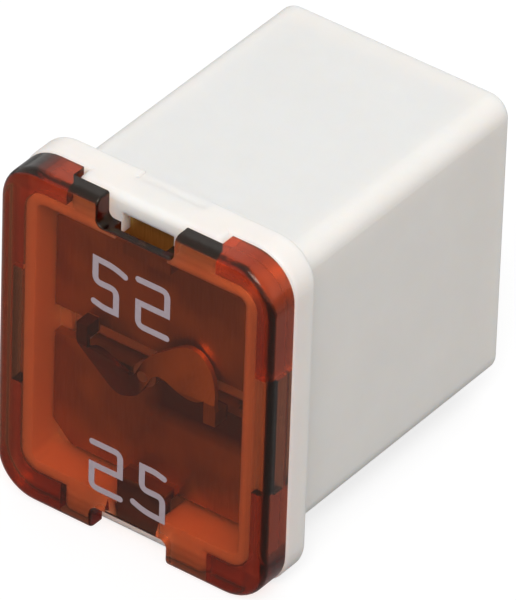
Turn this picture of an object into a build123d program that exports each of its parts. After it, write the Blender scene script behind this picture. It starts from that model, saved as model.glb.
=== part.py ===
from build123d import *
import os

# A low-profile female cartridge fuse, in millimetres. It lies on one narrow side: X runs across
# the short side of the face, Y from the cover into the body, and Z along the long side of the face.
# The origin is under the middle of the part, at the bottom of its bounding box.

# Overall outline, seen from the cover
face_width = 12.1
face_height = 14.65
total_depth = 15.65

# Cover: a flat plate with a low wall round its back. It stands off the housing by the seat gap.
cover_corner_r = 1.75
cover_depth = 1.35
plate_thickness = 0.75
seat_gap = 0.03
cover_edge_r = 0.35
notch_width = 3.4
notch_height = 1.08
notch_corner_r = 0.28
notch_edge_r = 0.1
notch_bevel = 0.42

# Housing: a thin-walled box with a flange behind the cover and a rim inside the cover's wall
flange_thickness = 1.25
flange_corner_r = 1.6
flange_edge_r = 0.2
body_width = 10.2
body_height = 12.3
body_corner_r = 0.85
body_rear_edge_r = 0.2
wall = 0.45
rear_wall = 1.0
cavity_corner_r = 0.35
rim_clearance = 0.06
partition_thickness = 0.8
partition_front = 2.6
rail_width = 0.5

# Tongues: they fill the gaps in the cover's wall at the top and the bottom of the face
tongue_width = 6.4
tongue_clearance = 0.1
tongue_corner_r = 0.35
tongue_edge_r = 0.3

# Probe windows, cut in the front edge of the housing behind the cover's notches
window_width = 2.3
window_roof = 0.7
window_depth = 1.55

# Shallow recess in the flange's rear edge
recess_width = 3.0
recess_depth = 0.6
recess_height = 0.15

# Snap beads on the rim's long sides, with grooves for them in the cover's wall
bead_length = 5.0
bead_height = 0.12
bead_front = 0.95
bead_thickness = 0.3
bead_clearance = 0.03
groove_depth = 0.45

# Openings for the mating tabs in the terminal end
tab_width = 6.3
tab_thickness = 0.8
tab_opening_side_clearance = 0.35
tab_opening_height = 2.2
tab_opening_chamfer = 0.4

# Fuse strip: its plates lie on the front ends of the rails
strip_thickness = 0.4
plate_depth = 1.95
plate_side_gap = 0.05
plate_end_gap = 0.4
plate_gap = 1.2
plate_corner_chamfer = 0.8
probe_tab_depth = 1.15
probe_tab_clearance = 0.1
probe_tab_roof_gap = 0.15

# Spring arms that grip the mating tab
arm_bend_r = 0.45
arm_side_clearance = 0.15
arm_root_depth = 3.4
arm_contact_depth = 11.3
arm_end_depth = 13.4
arm_preload = 0.2
arm_flare = 0.7
arm_contact_r = 1.2

# S-shaped link in front of the plates. Its middle stands forward, its two roots lap the plates, and its
# lobes lean: the left one faces down and the right one up.
link_depth = 1.05
link_thickness = 0.2
link_bow = 0.2
link_lean = 0.5
link_root_x = 2.87
link_root_width = 0.5
link_root_lap = 0.3
link_root_drop = 0.28
link_shoulder_x = 2.4
link_shoulder_reach = 1.25
link_lobe_x = 1.6
link_lobe_reach = 1.7
link_heel_x = 0.85
link_heel_reach = 1.4
link_waist = 0.65
link_crotch_x = 0.6
link_crotch_reach = 0.25
link_inner_x = 1.3
link_inner_reach = 0.05
link_sink = 0.05

# Tin rivet through the middle of the link, flush in front and with a head behind
pellet_hole_r = 0.22
pellet_head_r = 0.5
pellet_head_height = 0.3
pellet_edge_r = 0.12

# Planes and places worked out from the sizes above
overrun = 1.0
mid_z = face_height / 2
front_y = -total_depth / 2
flange_front = cover_depth + seat_gap
flange_rear = flange_front + flange_thickness
rim_front = plate_thickness + seat_gap
cavity_width = body_width - 2 * wall
cavity_height = body_height - 2 * wall
pocket_width = body_width + 2 * rim_clearance
pocket_height = body_height + 2 * rim_clearance
plate_rear = plate_depth + strip_thickness
plate_width = cavity_width - 2 * plate_side_gap
plate_top = cavity_height / 2 - plate_end_gap
plate_bottom = plate_gap / 2
socket_z = (plate_top + plate_bottom) / 2
window_top = face_height / 2 - window_roof
probe_tab_width = window_width - 2 * probe_tab_clearance
probe_tab_top = window_top - probe_tab_roof_gap
notch_floor = face_height / 2 - notch_height
groove_rear = bead_front + bead_thickness + bead_clearance


def face_plane(depth):
    """Plane across the depth, facing the viewer: local x is X and local y is Z from the face's centre."""
    return Plane(origin=(0, front_y + depth, mid_z), x_dir=(1, 0, 0), z_dir=(0, -1, 0))


def side_plane(x):
    """Plane along the depth at one x: local x is the depth and local y is Z from the face's centre."""
    return Plane(origin=(x, front_y, mid_z), x_dir=(0, 1, 0), z_dir=(1, 0, 0))


def half_turned(points):
    """The same points turned half a turn about the face's centre."""
    return [(-x, -z) for x, z in points]


face_axis = Axis((0, 0, mid_z), (0, 1, 0))

# Cover: plate and wall in one moulding
with BuildPart() as cover:
    with BuildSketch(face_plane(cover_depth)):
        RectangleRounded(face_width, face_height, cover_corner_r)
    extrude(amount=cover_depth)
    front_edges = cover.faces().sort_by(Axis.Y)[0].edges()
    fillet(front_edges, cover_edge_r)
    # Pocket for the housing's rim
    with BuildSketch(face_plane(cover_depth)):
        RectangleRounded(pocket_width, pocket_height, body_corner_r + rim_clearance)
    extrude(amount=cover_depth - plate_thickness, mode=Mode.SUBTRACT)
    # Gaps in the wall for the tongues
    with BuildSketch(face_plane(cover_depth)):
        Rectangle(tongue_width + 2 * tongue_clearance, face_height + overrun)
    extrude(amount=cover_depth - plate_thickness, mode=Mode.SUBTRACT)
    # Notches in the plate at the top and the bottom
    with BuildSketch(face_plane(cover_depth)) as notches:
        with Locations((0, face_height / 2), (0, -face_height / 2)):
            Rectangle(notch_width, 2 * notch_height)
        fillet(notches.vertices(), notch_corner_r)
    extrude(amount=cover_depth, mode=Mode.SUBTRACT)
    front_face = cover.faces().sort_by(Axis.Y)[0]
    notch_edges = front_face.edges().filter_by(lambda edge: abs(edge.center().X) < notch_width / 2 + notch_edge_r)
    fillet(notch_edges, notch_edge_r)
    # Bevels behind the notches' floors, so that a probe gets at the tabs in the windows
    for side in (-1, 1):
        with BuildSketch(side_plane(0)):
            Polygon(
                (plate_thickness - notch_bevel - overrun, side * (notch_floor + overrun)),
                (plate_thickness + overrun, side * (notch_floor + overrun)),
                (plate_thickness + overrun, side * (notch_floor - notch_bevel - overrun)),
                align=None,
            )
        extrude(amount=window_width / 2, both=True, mode=Mode.SUBTRACT)
    # Grooves for the snap beads, which leave a thin lip behind each bead
    with BuildSketch(face_plane(groove_rear)):
        Rectangle(pocket_width + 2 * groove_depth, bead_length + 2 * bead_clearance)
    extrude(amount=groove_rear - plate_thickness, mode=Mode.SUBTRACT)
cover.part.label = "cover"

# Housing: box, flange and tongues
with BuildPart() as housing:
    with BuildSketch(face_plane(flange_rear)):
        RectangleRounded(face_width, face_height, flange_corner_r)
    extrude(amount=flange_thickness)
    flange_edges = housing.edges().filter_by(Axis.Y, reverse=True)
    fillet(flange_edges, flange_edge_r)
    # Tongues, flush with the flange and as far forward as the rim
    with BuildSketch(face_plane(flange_rear - flange_edge_r)):
        RectangleRounded(tongue_width, face_height, tongue_corner_r)
    extrude(amount=flange_rear - flange_edge_r - rim_front)
    tongue_front = housing.faces().sort_by(Axis.Y)[0]
    tongue_ends = tongue_front.edges().filter_by(
        lambda edge: abs(edge.center().Z - mid_z) > face_height / 2 - tongue_corner_r
    )
    fillet(tongue_ends, tongue_edge_r)
    # Body, with its rim in front of the flange
    with BuildSketch(face_plane(total_depth)):
        RectangleRounded(body_width, body_height, body_corner_r)
    extrude(amount=total_depth - rim_front)
    rear_edges = housing.faces().sort_by(Axis.Y)[-1].edges()
    fillet(rear_edges, body_rear_edge_r)
    # Snap beads on the rim
    with BuildSketch(face_plane(bead_front + bead_thickness)):
        Rectangle(body_width + 2 * bead_height, bead_length)
    extrude(amount=bead_thickness)
    # Cavity, open to the front
    with BuildSketch(face_plane(total_depth - rear_wall)):
        RectangleRounded(cavity_width, cavity_height, cavity_corner_r)
    extrude(amount=total_depth - rear_wall, mode=Mode.SUBTRACT)
    # Partition between the two sockets
    with BuildSketch(face_plane(total_depth - rear_wall)):
        Rectangle(cavity_width, partition_thickness)
    extrude(amount=total_depth - rear_wall - partition_front)
    # Rails along the side walls, whose front ends carry the plates of the fuse strip
    with BuildSketch(face_plane(total_depth - rear_wall)):
        for side in (-1, 1):
            with Locations((side * (cavity_width - rail_width) / 2, 0)):
                Rectangle(rail_width, cavity_height)
    extrude(amount=total_depth - rear_wall - plate_rear)
    # Probe windows in the front edge
    with BuildSketch(face_plane(rim_front + window_depth)):
        Rectangle(window_width, 2 * window_top)
    extrude(amount=window_depth, mode=Mode.SUBTRACT)
    # Recesses in the flange's rear edge
    with BuildSketch(face_plane(flange_rear)):
        with Locations((0, face_height / 2), (0, -face_height / 2)):
            Rectangle(recess_width, 2 * recess_height)
    extrude(amount=recess_depth, mode=Mode.SUBTRACT)
    # Tab openings in the terminal end, with a lead-in all round
    with BuildSketch(face_plane(total_depth)):
        with Locations((0, socket_z), (0, -socket_z)):
            Rectangle(tab_width + 2 * tab_opening_side_clearance, tab_opening_height)
    extrude(amount=rear_wall, mode=Mode.SUBTRACT)
    rear_face = housing.faces().sort_by(Axis.Y)[-1]
    chamfer([edge for wire in rear_face.inner_wires() for edge in wire.edges()], tab_opening_chamfer)
housing.part.label = "housing"

# One terminal of the fuse strip: plate, probe tab and two spring arms
arm_width = tab_width + 2 * arm_side_clearance
arm_high = plate_top - strip_thickness / 2
arm_low = plate_bottom + strip_thickness / 2
contact_half_gap = (tab_thickness - arm_preload + strip_thickness) / 2
fold_depth = plate_depth + strip_thickness / 2

with BuildPart() as terminal:
    # Spring arms, folded back from the plate's two ends
    for arm_z, side in ((arm_high, 1), (arm_low, -1)):
        with BuildSketch(side_plane(0)):
            with BuildLine():
                FilletPolyline(
                    (fold_depth, socket_z),
                    (fold_depth, arm_z),
                    (arm_root_depth, arm_z),
                    (arm_contact_depth, socket_z + side * contact_half_gap),
                    (arm_end_depth, socket_z + side * (contact_half_gap + arm_flare)),
                    radius=[arm_bend_r, arm_contact_r, arm_contact_r],
                )
            trace(line_width=strip_thickness)
        extrude(amount=arm_width / 2, both=True)
    # Plate
    with BuildSketch(face_plane(plate_rear)) as plate:
        with Locations((0, socket_z)):
            Rectangle(plate_width, plate_top - plate_bottom)
        chamfer(plate.vertices().group_by(Axis.Y)[-1], plate_corner_chamfer)
    extrude(amount=strip_thickness)
    # Probe tab, stepped forward from the plate's end into the window
    with BuildSketch(face_plane(plate_rear)):
        with Locations((0, plate_top)):
            Rectangle(probe_tab_width, strip_thickness, align=(Align.CENTER, Align.MAX))
    extrude(amount=plate_rear - probe_tab_depth)
    with BuildSketch(face_plane(probe_tab_depth + strip_thickness)):
        with Locations((0, plate_top)):
            Rectangle(probe_tab_width, probe_tab_top - plate_top, align=(Align.CENTER, Align.MIN))
    extrude(amount=strip_thickness)

# Link: an S-shaped ribbon, cut from a bent slab. Its lower edge runs from the upper plate's root down
# round the left lobe, up through the middle and on to the lower plate's root, and its upper edge is the
# same curve turned half a turn.
root_left = link_root_x + link_root_width / 2
root_right = link_root_x - link_root_width / 2
root_z = plate_bottom + link_root_lap
root_front = link_depth + link_bow
lower_edge = [
    (-root_left, root_z),
    (-root_left + link_root_width / 4, -link_root_drop),
    (-link_shoulder_x, -link_shoulder_reach),
    (-link_lobe_x, -link_lobe_reach),
    (-link_heel_x, -link_heel_reach),
    (0, -link_waist),
    (link_crotch_x, link_crotch_reach),
    (link_inner_x, link_inner_reach),
    (root_right, link_inner_reach),
    (root_right, -root_z),
]
slab_reach = link_lobe_reach + link_thickness

with BuildPart() as link:
    # The slab in four quarters. Two of them lean back towards their far corner: the lower left one and the
    # upper right one.
    for x in (-root_left, root_left):
        for z in (-slab_reach, slab_reach):
            lean = link_lean * slab_reach if x * z > 0 else 0
            for place, middle, far in ((x, root_front, root_front + lean), (0, link_depth, link_depth)):
                with BuildSketch(side_plane(place)):
                    Polygon(
                        (middle, 0),
                        (far, z),
                        (far + link_thickness, z),
                        (middle + link_thickness, 0),
                        align=None,
                    )
            loft(ruled=True)
    with BuildSketch(face_plane(plate_rear)):
        with BuildLine():
            Spline(lower_edge[:-1])
            Line(lower_edge[-2], lower_edge[-1])
            Line(lower_edge[-1], half_turned(lower_edge)[0])
            Spline(half_turned(lower_edge)[:-1])
            Line(half_turned(lower_edge)[-2], half_turned(lower_edge)[-1])
            Line(half_turned(lower_edge)[-1], lower_edge[0])
        make_face()
        Circle(pellet_hole_r, mode=Mode.SUBTRACT)
    extrude(amount=plate_rear, mode=Mode.INTERSECT)
    # Each root reaches back to the plate that it laps
    with BuildSketch(face_plane(plate_depth + link_sink)):
        for side in (-1, 1):
            with Locations((side * link_root_x, -side * (root_z - link_root_lap))):
                Rectangle(link_root_width, 2 * link_root_lap)
    extrude(amount=plate_depth + link_sink - root_front)

# Fuse strip: two terminals, half a turn apart, and the link, all one stamping
with BuildPart() as fuse_element:
    add(terminal.part)
    add(terminal.part.rotate(face_axis, 180))
    add(link.part)
fuse_element.part.label = "fuse_element"

# Tin rivet: a pin through the link, flush in front, with a rounded head on the link's back
head_front = link_depth + link_thickness - link_sink
with BuildPart() as tin_pellet:
    with BuildSketch(face_plane(head_front + link_sink + pellet_head_height)):
        Circle(pellet_head_r)
    extrude(amount=pellet_head_height + link_sink)
    fillet(tin_pellet.faces().sort_by(Axis.Y)[-1].edges(), pellet_edge_r)
    with BuildSketch(face_plane(head_front)):
        Circle(pellet_hole_r)
    extrude(amount=head_front - link_depth)
    add(link.part, mode=Mode.SUBTRACT)
tin_pellet.part.label = "tin_pellet"

os.makedirs("parts", exist_ok=True)
export_step(cover.part, "parts/cover.step")
export_step(housing.part, "parts/housing.step")
export_step(fuse_element.part, "parts/fuse_element.step")
export_step(tin_pellet.part, "parts/tin_pellet.step")
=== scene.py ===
# A low-profile cartridge fuse, dressed for a photograph: a white nylon box with an amber cover over
# the fuse strip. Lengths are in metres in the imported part's frame: X across the short side of the
# face, Y from the cover into the body, Z up along the long side of the face.
import math

import bpy
import numpy as np
from mathutils import Matrix, Vector


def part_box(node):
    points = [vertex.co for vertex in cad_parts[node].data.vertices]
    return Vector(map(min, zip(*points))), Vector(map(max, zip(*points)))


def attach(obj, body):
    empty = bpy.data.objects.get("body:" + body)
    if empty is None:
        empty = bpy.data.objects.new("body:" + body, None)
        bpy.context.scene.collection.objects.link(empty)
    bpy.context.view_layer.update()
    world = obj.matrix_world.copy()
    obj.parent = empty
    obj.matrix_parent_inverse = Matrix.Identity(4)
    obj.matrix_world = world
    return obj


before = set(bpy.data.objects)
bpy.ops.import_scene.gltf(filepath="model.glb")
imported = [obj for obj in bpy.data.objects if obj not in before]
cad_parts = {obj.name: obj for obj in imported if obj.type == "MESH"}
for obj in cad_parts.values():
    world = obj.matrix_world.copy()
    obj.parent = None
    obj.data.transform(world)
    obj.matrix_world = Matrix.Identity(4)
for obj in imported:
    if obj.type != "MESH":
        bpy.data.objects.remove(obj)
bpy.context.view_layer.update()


# Housing: one moulding of natural white nylon, with the flange, the rim under the cover, the
# partition and the two tab openings. It comes out of a spark-eroded mould, so its skin is satin
# with a very fine grain, and light goes a little way into it.
def linear_rgba(hex_colour):
    """An sRGB hex colour as linear red, green, blue and an alpha of 1."""
    parts = [int(hex_colour[i : i + 2], 16) / 255 for i in (1, 3, 5)]
    return [c / 12.92 if c <= 0.04045 else ((c + 0.055) / 1.055) ** 2.4 for c in parts] + [1.0]


def add_node(tree, kind, inputs=(), **settings):
    """Adds a node with its settings. inputs gives each socket a value, or the socket that feeds it.
    A colour Mix node mixes its sockets 6 and 7 into its output 2."""
    node = tree.nodes.new(kind)
    for name, value in settings.items():
        setattr(node, name, value)
    for name, value in dict(inputs).items():
        if isinstance(value, bpy.types.NodeSocket):
            tree.links.new(value, node.inputs[name])
        else:
            node.inputs[name].default_value = value
    return node


def start_material(name):
    """An empty material with its node tree and its output node."""
    material = bpy.data.materials.new(name)
    material.use_nodes = True
    material.node_tree.nodes.clear()
    return material, material.node_tree, add_node(material.node_tree, "ShaderNodeOutputMaterial")


def dress(node, material):
    """Gives a CAD node or a piece one material."""
    node.data.materials.clear()
    node.data.materials.append(material)


# Nylon 66, moulded and unpainted: a milky white whose edges glow where they are thin. The grain of
# the mould is 0.02 mm in the real part and is drawn at 0.12 mm, so that it shows.
MM = 0.001
nylon_colour = "#F0EBE6"
nylon_shade = "#E9E4DE"
nylon_cloud = 2.5 * MM
nylon_grain = 0.12 * MM
nylon_grain_height = 0.004 * MM
nylon_smoothest = 0.38
nylon_roughest = 0.5
nylon_glow_depth = 1.1 * MM
nylon, tree, out = start_material("moulded_nylon")
place = add_node(tree, "ShaderNodeTexCoord").outputs["Object"]
cloud = add_node(
    tree,
    "ShaderNodeTexNoise",
    {"Vector": place, "Scale": 1 / nylon_cloud, "Detail": 3.0, "Roughness": 0.6},
)
tint = add_node(
    tree,
    "ShaderNodeMix",
    {"Factor": cloud.outputs["Fac"], 6: linear_rgba(nylon_colour), 7: linear_rgba(nylon_shade)},
    data_type="RGBA",
)
grain = add_node(
    tree, "ShaderNodeTexNoise", {"Vector": place, "Scale": 1 / nylon_grain, "Detail": 2.0}
)
gloss = add_node(
    tree,
    "ShaderNodeMapRange",
    {"Value": grain.outputs["Fac"], "To Min": nylon_smoothest, "To Max": nylon_roughest},
)
bump = add_node(
    tree,
    "ShaderNodeBump",
    {"Height": grain.outputs["Fac"], "Distance": nylon_grain_height, "Strength": 0.6},
)
skin = add_node(
    tree,
    "ShaderNodeBsdfPrincipled",
    {
        "Base Color": tint.outputs[2],
        "Roughness": gloss.outputs["Result"],
        "IOR": 1.53,
        "Subsurface Weight": 1.0,
        "Subsurface Radius": (1.0, 0.85, 0.7),
        "Subsurface Scale": nylon_glow_depth,
        "Normal": bump.outputs["Normal"],
    },
)
tree.links.new(skin.outputs["BSDF"], out.inputs["Surface"])
dress(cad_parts["housing"], nylon)

# Cover: a clear amber moulding, snapped over the housing's rim. It is coloured right through, so
# its thin plate is orange brown and its wall, seen along its length, is nearly black.
cover_low, cover_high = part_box("cover")
cover_width = cover_high.x - cover_low.x
cover_height = cover_high.z - cover_low.z
face_middle_z = (cover_low.z + cover_high.z) / 2

# Polysulfone, dyed and moulded. Its face comes polished out of the mould, and its sides come satin.
# Over the deep wall, the front and the sides pass less of every colour than the rest does: this is
# painted shade for the darkness that the thick wall shows, beyond what the dye gives. The normal's Y
# is -1 on the face and 1 on the rear: the satin comes in over the first pair of values, and the
# rear, which gets no painted shade, over the second.
# The reflections are dimmed and warmed a little, as they are in the photograph.
dye_colour = "#F0BC7C"
dye_density = 2500.0
reflection_colour = "#CBBCAD"
# What the cover passes over the deep wall, a painted shade
wall_painted_pass = 0.55
wall_start = 5.05 * MM
wall_blend = 0.2 * MM
face_roughness = 0.03
side_roughness = 0.16
face_turn = (-0.98, -0.7)
rear_turn = (0.3, 0.7)
polysulfone, tree, out = start_material("clear_amber_polysulfone")
place = add_node(tree, "ShaderNodeTexCoord")
from_middle = add_node(
    tree,
    "ShaderNodeMapping",
    {"Vector": place.outputs["Object"], "Location": (0.0, 0.0, -face_middle_z)},
)
offset = add_node(tree, "ShaderNodeSeparateXYZ", {"Vector": from_middle.outputs["Vector"]})
across = add_node(tree, "ShaderNodeMath", {0: offset.outputs["X"]}, operation="ABSOLUTE")
lengthways = add_node(tree, "ShaderNodeMath", {0: offset.outputs["Z"]}, operation="ABSOLUTE")
# The face is longer than wide. Half of the difference comes off, so that both ways compare.
shortened = add_node(
    tree,
    "ShaderNodeMath",
    {0: lengthways.outputs[0], 1: (cover_height - cover_width) / 2},
    operation="SUBTRACT",
)
outward = add_node(
    tree, "ShaderNodeMath", {0: across.outputs[0], 1: shortened.outputs[0]}, operation="MAXIMUM"
)
over_wall = add_node(
    tree,
    "ShaderNodeMapRange",
    {"Value": outward.outputs[0], "From Min": wall_start, "From Max": wall_start + wall_blend},
)
facing = add_node(tree, "ShaderNodeSeparateXYZ", {"Vector": place.outputs["Normal"]})
off_the_face = add_node(
    tree,
    "ShaderNodeMapRange",
    {"Value": facing.outputs["Y"], "From Min": face_turn[0], "From Max": face_turn[1]},
)
polish = add_node(
    tree,
    "ShaderNodeMapRange",
    {"Value": off_the_face.outputs["Result"], "To Min": face_roughness, "To Max": side_roughness},
)
rearward = add_node(
    tree,
    "ShaderNodeMapRange",
    {"Value": facing.outputs["Y"], "From Min": rear_turn[0], "From Max": rear_turn[1]},
)
# Painted shade: the pass colour darkens over the deep wall, but not on the rear faces
painted_wall_shade = add_node(
    tree,
    "ShaderNodeMath",
    {0: over_wall.outputs["Result"], 1: rearward.outputs["Result"]},
    operation="SUBTRACT",
    use_clamp=True,
)
pass_with_painted_shade = add_node(
    tree, "ShaderNodeMapRange", {"Value": painted_wall_shade.outputs[0], "To Min": 1.0, "To Max": wall_painted_pass}
)
clear = add_node(
    tree,
    "ShaderNodeBsdfPrincipled",
    {
        "Base Color": pass_with_painted_shade.outputs["Result"],
        "Roughness": polish.outputs["Result"],
        "IOR": 1.55,
        "Specular Tint": linear_rgba(reflection_colour),
        "Transmission Weight": 1.0,
    },
)
# Rays from the lamps go straight through, so that the inside is lit without sparkle
ray = add_node(tree, "ShaderNodeLightPath")
straight = add_node(tree, "ShaderNodeBsdfTransparent", {"Color": linear_rgba("#FFFFFF")})
surface = add_node(
    tree,
    "ShaderNodeMixShader",
    {0: ray.outputs["Is Shadow Ray"], 1: clear.outputs["BSDF"], 2: straight.outputs["BSDF"]},
)
dye = add_node(
    tree,
    "ShaderNodeVolumeAbsorption",
    {"Color": linear_rgba(dye_colour), "Density": dye_density},
)
tree.links.new(surface.outputs["Shader"], out.inputs["Surface"])
tree.links.new(dye.outputs["Volume"], out.inputs["Volume"])
dress(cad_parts["cover"], polysulfone)

# Fuse strip: one stamped and folded strip of copper alloy, with two spring sockets, their plates
# and the thin link between them. It is pushed into the housing and left bare.

# Copper alloy, rolled and not plated: satin, with fine lines along the strip where the rolls ran.
# They are about 0.01 mm wide on a real strip and are drawn 0.06 mm wide, so that they show.
alloy_colour = "#BC9F60"
alloy_dull = "#9A8047"
roll_length = 1.2 * MM
roll_width = 0.06 * MM
alloy_smoothest = 0.3
alloy_roughest = 0.5
rolled, tree, out = start_material("rolled_copper_alloy")
place = add_node(tree, "ShaderNodeTexCoord").outputs["Object"]
along = add_node(
    tree,
    "ShaderNodeMapping",
    {"Vector": place, "Scale": (1 / roll_width, 1 / roll_width, 1 / roll_length)},
)
lines = add_node(
    tree, "ShaderNodeTexNoise", {"Vector": along.outputs["Vector"], "Scale": 1.0, "Detail": 2.0}
)
bare = add_node(
    tree,
    "ShaderNodeMix",
    {"Factor": lines.outputs["Fac"], 6: linear_rgba(alloy_colour), 7: linear_rgba(alloy_dull)},
    data_type="RGBA",
)
# Stamping and handling leave some patches brighter. A patch starts where its noise reaches the first
# level, and is full at the second.
bright_colour = "#D2AE58"
bright_most = 0.7
patch_size = 2.4 * MM
patch_levels = (0.45, 0.65)
patches = add_node(
    tree, "ShaderNodeTexNoise", {"Vector": place, "Scale": 1 / patch_size, "Detail": 1.0}
)
bright = add_node(
    tree,
    "ShaderNodeMapRange",
    {
        "Value": patches.outputs["Fac"],
        "From Min": patch_levels[0],
        "From Max": patch_levels[1],
        "To Max": bright_most,
    },
)
handled = add_node(
    tree,
    "ShaderNodeMix",
    {"Factor": bright.outputs["Result"], 6: bare.outputs[2], 7: linear_rgba(bright_colour)},
    data_type="RGBA",
)
# Painted shade and shadow: the link's left lobe is darkened as painted shade, the lower plate under
# the right lobe as a painted shadow of that lobe, and the lower probe tab as painted shade in its
# window. Each patch of painted shade is a box given by its middle, by how far it reaches from there,
# and by how far it fades out beyond that, all in millimetres. The middles are measured from the
# middle of the cover's face.
painted_shade_colour = "#5E3F30"
painted_shade_boxes = (
    ((-2.2, 1.0, -0.6), (2.0, 0.91, 1.8), (0.4, 0.02, 0.4)),
    ((2.0, 1.95, -1.1), (1.7, 0.01, 0.5), (1.1, 0.02, 0.8)),
    ((0.0, 1.3, -6.0), (1.3, 0.4, 0.9), (0.2, 0.1, 0.3)),
)
painted_shade_amount = 0.0
for middle, reach, fade in painted_shade_boxes:
    offset = add_node(
        tree,
        "ShaderNodeVectorMath",
        {
            0: place,
            1: (
                middle[0] * MM,
                cover_low.y + middle[1] * MM,
                face_middle_z + middle[2] * MM,
            ),
        },
        operation="SUBTRACT",
    )
    apart = add_node(
        tree, "ShaderNodeVectorMath", {0: offset.outputs["Vector"]}, operation="ABSOLUTE"
    )
    beyond = add_node(
        tree,
        "ShaderNodeVectorMath",
        {0: apart.outputs["Vector"], 1: tuple(r * MM for r in reach)},
        operation="SUBTRACT",
    )
    outside = add_node(
        tree,
        "ShaderNodeVectorMath",
        {0: beyond.outputs["Vector"], 1: (0.0, 0.0, 0.0)},
        operation="MAXIMUM",
    )
    faded = add_node(
        tree,
        "ShaderNodeVectorMath",
        {0: outside.outputs["Vector"], 1: tuple(f * MM for f in fade)},
        operation="DIVIDE",
    )
    away = add_node(tree, "ShaderNodeVectorMath", {0: faded.outputs["Vector"]}, operation="LENGTH")
    painted_shade_mask = add_node(
        tree, "ShaderNodeMapRange", {"Value": away.outputs["Value"], "To Min": 1.0, "To Max": 0.0}
    )
    joined = add_node(
        tree, "ShaderNodeMath", {0: painted_shade_mask.outputs["Result"], 1: painted_shade_amount}, operation="MAXIMUM"
    )
    painted_shade_amount = joined.outputs[0]
# The alloy colour goes over to the painted shade colour inside each box
tint = add_node(
    tree,
    "ShaderNodeMix",
    {"Factor": painted_shade_amount, 6: handled.outputs[2], 7: linear_rgba(painted_shade_colour)},
    data_type="RGBA",
)
gloss = add_node(
    tree,
    "ShaderNodeMapRange",
    {"Value": lines.outputs["Fac"], "To Min": alloy_smoothest, "To Max": alloy_roughest},
)
metal = add_node(
    tree,
    "ShaderNodeBsdfPrincipled",
    {"Base Color": tint.outputs[2], "Roughness": gloss.outputs["Result"], "Metallic": 1.0},
)
tree.links.new(metal.outputs["BSDF"], out.inputs["Surface"])
dress(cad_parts["fuse_element"], rolled)

# Tin rivet: a short piece of tin wire, set through the middle of the link by heat and a punch. In
# a link that stays hot for long it melts into the copper, which gives the fuse its time delay.

# Tin, upset and left bare: soft and dull grey, with dents from the punch
tin_colour = "#B9B8B6"
tin_dent = 0.25 * MM
tin_dent_depth = 0.02 * MM
tin_smoothest = 0.35
tin_roughest = 0.6
tin, tree, out = start_material("dull_tin")
place = add_node(tree, "ShaderNodeTexCoord").outputs["Object"]
dents = add_node(
    tree, "ShaderNodeTexNoise", {"Vector": place, "Scale": 1 / tin_dent, "Detail": 2.0}
)
gloss = add_node(
    tree,
    "ShaderNodeMapRange",
    {"Value": dents.outputs["Fac"], "To Min": tin_smoothest, "To Max": tin_roughest},
)
bump = add_node(
    tree,
    "ShaderNodeBump",
    {"Height": dents.outputs["Fac"], "Distance": tin_dent_depth, "Strength": 0.5},
)
metal = add_node(
    tree,
    "ShaderNodeBsdfPrincipled",
    {
        "Base Color": linear_rgba(tin_colour),
        "Roughness": gloss.outputs["Result"],
        "Metallic": 1.0,
        "Normal": bump.outputs["Normal"],
    },
)
tree.links.new(metal.outputs["BSDF"], out.inputs["Surface"])
dress(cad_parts["tin_pellet"], tin)


# Rating: the number 25, pad-printed twice on the cover's face in pale ink, once each way up, so
# that it reads from either side. The ink stands 0.006 mm proud of the plate, and its mesh goes as
# deep into the plate, so that no gap shows under its edge.
def stroke_path(corners, radii, steps=6):
    """A line through corners. A corner whose radius is nought stays sharp, and any other is
    replaced by a quadratic curve that starts and ends at its radius from the corner and has the
    corner as its middle control point."""
    corners = np.array(corners, float)
    points = [corners[:1]]
    for before, corner, after, radius in zip(corners, corners[1:], corners[2:], radii):
        if radius == 0:
            points.append(corner[None])
            continue
        start = corner + radius * (before - corner) / np.linalg.norm(before - corner)
        end = corner + radius * (after - corner) / np.linalg.norm(after - corner)
        t = np.linspace(0, 1, steps)[:, None]
        points.append((1 - t) ** 2 * start + 2 * t * (1 - t) * corner + t**2 * end)
    return np.vstack(points + [corners[-1:]])


def stroke_rails(path, width, cap_steps=6):
    """The outline of a pen stroke along path, as two rails. Each point goes to the left and to the
    right along the mean normal of its two runs, by half the width over the cosine of half the turn
    there, so a sharp corner is mitred. At the ends the half width shrinks as a circle's chord, so
    they are round."""
    half = width / 2
    runs = np.diff(path, axis=0)
    runs /= np.linalg.norm(runs, axis=1)[:, None]
    mean = (np.vstack([runs[:1], runs]) + np.vstack([runs, runs[-1:]])) / 2
    cosine = np.linalg.norm(mean, axis=1)
    direction = mean / cosine[:, None]
    turn = np.linspace(0, math.pi / 2, cap_steps)[:-1]
    line = np.vstack(
        [
            path[0] - runs[0] * half * np.cos(turn)[:, None],
            path,
            path[-1] + runs[-1] * half * np.cos(turn[::-1])[:, None],
        ]
    )
    reach = np.concatenate([np.sin(turn), 1 / cosine, np.sin(turn[::-1])]) * half
    ends = len(turn)
    direction = np.vstack([np.repeat(runs[:1], ends, 0), direction, np.repeat(runs[-1:], ends, 0)])
    normal = np.stack([-direction[:, 1], direction[:, 0]], axis=1) * reach[:, None]
    return line + normal, line - normal


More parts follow.
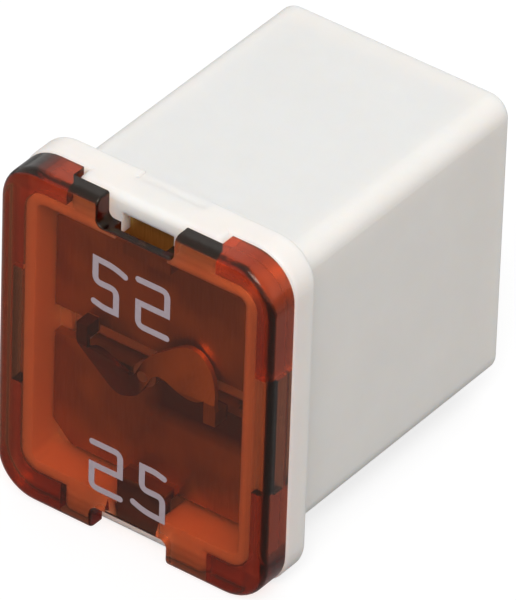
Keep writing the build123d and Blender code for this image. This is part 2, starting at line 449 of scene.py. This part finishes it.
def film_mesh(name, strokes, front_y, film):
    """Strokes as closed films: each pair of rails gives a front face at front_y minus film and a
    back face as far inside the plate, joined all round the edge."""
    points, faces = [], []
    for left, right in strokes:
        count = len(left)
        base = sum(len(p) for p in points)
        for y in (front_y - film, front_y + film):
            for rail in (left, right):
                points.append(np.column_stack([rail[:, 0], np.full(count, y), rail[:, 1]]))
        i = np.arange(count - 1)
        # The first point of each strip of faces: front left, front right, back left and back right
        fl, fr, bl, br = (base + k * count + i for k in range(4))
        faces += [np.column_stack([fl, fr, fr + 1, fl + 1])]
        faces += [np.column_stack([bl, bl + 1, br + 1, br])]
        faces += [np.column_stack([fl, fl + 1, bl + 1, bl])]
        faces += [np.column_stack([fr, br, br + 1, fr + 1])]
        for k in (0, count - 1):
            end = base + k + count * np.array([[0, 2, 3, 1]])
            faces += [end if k == 0 else end[:, ::-1]]
    mesh = bpy.data.meshes.new(name)
    mesh.from_pydata(np.vstack(points).tolist(), [], np.vstack(faces).tolist())
    mesh.update()
    piece = bpy.data.objects.new(name, mesh)
    bpy.context.scene.collection.objects.link(piece)
    return piece


# The two digits, in millimetres from the middle of the number. The ends of the 5 droop a little.
half_height = 1.0
round_corner = 0.28
two = stroke_path(
    [
        (-1.6, half_height),
        (-0.33, half_height),
        (-0.33, 0),
        (-1.6, 0),
        (-1.6, -half_height),
        (-0.31, -half_height),
    ],
    [round_corner, 0, 0, round_corner],
)
five = stroke_path(
    [
        (1.63, half_height - 0.17),
        (1.2, half_height - 0.06),
        (0.65, half_height - 0.06),
        (0.65, -0.06),
        (1.59, -0.06),
        (1.59, -half_height - 0.06),
        (0.75, -half_height - 0.02),
        (0.28, -half_height + 0.18),
    ],
    [0.15, 0, round_corner, round_corner, 0, 0.4],
)
# Each number's middle, in millimetres from the middle of the face, and which way up it stands
numbers = ((-0.05, -4.27, 1), (-0.09, 3.78, -1))
ink_width = 0.26 * MM
ink_film = 0.006 * MM
strokes = []
for x, z, way in numbers:
    for digit in (two, five):
        line = (way * digit + (x, z)) * MM + (0, face_middle_z)
        strokes.append(stroke_rails(line, ink_width))
rating = film_mesh("rating_print", strokes, cover_low.y, ink_film)

# Pad-printing ink, pale grey: flat and a little uneven, since the pad leaves it thinner in spots
ink_colour = "#B5A6AD"
ink_thin = "#A4959B"
ink_spot = 0.2 * MM
ink, tree, out = start_material("pad_printing_ink")
place = add_node(tree, "ShaderNodeTexCoord").outputs["Object"]
spots = add_node(
    tree, "ShaderNodeTexNoise", {"Vector": place, "Scale": 1 / ink_spot, "Detail": 3.0}
)
tint = add_node(
    tree,
    "ShaderNodeMix",
    {"Factor": spots.outputs["Fac"], 6: linear_rgba(ink_colour), 7: linear_rgba(ink_thin)},
    data_type="RGBA",
)
dried = add_node(
    tree, "ShaderNodeBsdfPrincipled", {"Base Color": tint.outputs[2], "Roughness": 0.45, "IOR": 1.5}
)
tree.links.new(dried.outputs["BSDF"], out.inputs["Surface"])
dress(rating, ink)
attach(rating, "root")

# Floor: a wide sheet of paper under the part. It is grey, so that it throws little light up at the
# part and takes its shadow, and its glow makes it white for the camera alone.
floor_half = 0.6
floor_drop = 0.01 * MM
paper_colour = "#959595"
paper_shown = 0.74
paper_mirrored = 0.05
floor_corners = [
    (x * floor_half, y * floor_half, -floor_drop) for x, y in ((-1, -1), (1, -1), (1, 1), (-1, 1))
]
floor_mesh = bpy.data.meshes.new("floor")
floor_mesh.from_pydata(floor_corners, [], [(0, 1, 2, 3)])
floor = bpy.data.objects.new("floor", floor_mesh)
bpy.context.scene.collection.objects.link(floor)
paper, tree, out = start_material("white_paper")
ray = add_node(tree, "ShaderNodeLightPath")
indirect = add_node(
    tree,
    "ShaderNodeMath",
    {0: ray.outputs["Is Glossy Ray"], 1: ray.outputs["Is Transmission Ray"]},
    operation="MAXIMUM",
)
mirrored = add_node(
    tree, "ShaderNodeMath", {0: indirect.outputs[0], 1: paper_mirrored}, operation="MULTIPLY"
)
glow = add_node(
    tree,
    "ShaderNodeMath",
    {0: ray.outputs["Is Camera Ray"], 1: paper_shown, 2: mirrored.outputs[0]},
    operation="MULTIPLY_ADD",
)
sheet = add_node(
    tree,
    "ShaderNodeBsdfPrincipled",
    {
        "Base Color": linear_rgba(paper_colour),
        "Roughness": 0.9,
        "Specular IOR Level": 0.0,
        "Emission Color": linear_rgba("#FFFFFF"),
        "Emission Strength": glow.outputs[0],
    },
)
tree.links.new(sheet.outputs["BSDF"], out.inputs["Surface"])
dress(floor, paper)

# Light: an even white surround, which lights the part at less than the white that the camera and
# clear or shiny surfaces see, and one soft lamp above and in front, to the right. The lamp is
# 0.13 m wide and needs only 0.46 W, since it is near and the part is small.
surround_light = 0.69
surround_seen = 1.0
lamp_place = (0.11, -0.15, 0.24)
lamp_width = 0.13
lamp_watts = 0.46
world = bpy.data.worlds.new("studio")
world.use_nodes = True
tree = world.node_tree
tree.nodes.clear()
out = add_node(tree, "ShaderNodeOutputWorld")
ray = add_node(tree, "ShaderNodeLightPath")
direct = add_node(
    tree,
    "ShaderNodeMath",
    {0: ray.outputs["Is Camera Ray"], 1: ray.outputs["Is Glossy Ray"]},
    operation="MAXIMUM",
)
seen = add_node(
    tree,
    "ShaderNodeMath",
    {0: direct.outputs[0], 1: ray.outputs["Is Transmission Ray"]},
    operation="MAXIMUM",
)
level = add_node(
    tree,
    "ShaderNodeMapRange",
    {"Value": seen.outputs[0], "To Min": surround_light, "To Max": surround_seen},
)
sky = add_node(
    tree,
    "ShaderNodeBackground",
    {"Color": linear_rgba("#FFFFFF"), "Strength": level.outputs["Result"]},
)
tree.links.new(sky.outputs["Background"], out.inputs["Surface"])
bpy.context.scene.world = world

lamp_data = bpy.data.lights.new("softbox", "AREA")
lamp_data.shape = "SQUARE"
lamp_data.size = lamp_width
lamp_data.energy = lamp_watts
lamp = bpy.data.objects.new("softbox", lamp_data)
lamp.location = lamp_place
lamp.rotation_euler = (-lamp.location).to_track_quat("-Z", "Y").to_euler()
bpy.context.scene.collection.objects.link(lamp)

# Camera: far off with a long lens, to the right of the face and above it, and rolled by two
# degrees. It aims a little below and to the left of a point inside the body, as the photograph is
# framed.
azimuth, elevation, roll = (math.radians(a) for a in (35.639, 36.359, 1.974))
distance = 374.06 * MM
aim_depth = 7.8 * MM
aim_right = -0.1482 * MM
aim_up = -0.5616 * MM
sensor_width = 36.0
lens_length = 622.7
back = Vector(
    (
        math.sin(azimuth) * math.cos(elevation),
        -math.cos(azimuth) * math.cos(elevation),
        math.sin(elevation),
    )
)
level_right = (-back).cross(Vector((0, 0, 1))).normalized()
level_up = level_right.cross(-back)
right = math.cos(roll) * level_right + math.sin(roll) * level_up
up = -math.sin(roll) * level_right + math.cos(roll) * level_up
aim = Vector((0, cover_low.y + aim_depth, face_middle_z)) + aim_right * right + aim_up * up
camera_data = bpy.data.cameras.new("camera")
camera_data.sensor_width = sensor_width
camera_data.lens = lens_length
camera = bpy.data.objects.new("camera", camera_data)
camera.matrix_world = Matrix(
    (
        (right.x, up.x, back.x, aim.x + back.x * distance),
        (right.y, up.y, back.y, aim.y + back.y * distance),
        (right.z, up.z, back.z, aim.z + back.z * distance),
        (0, 0, 0, 1),
    )
)
bpy.context.scene.collection.objects.link(camera)
bpy.context.scene.camera = camera
bpy.context.scene.view_settings.view_transform = "Standard"
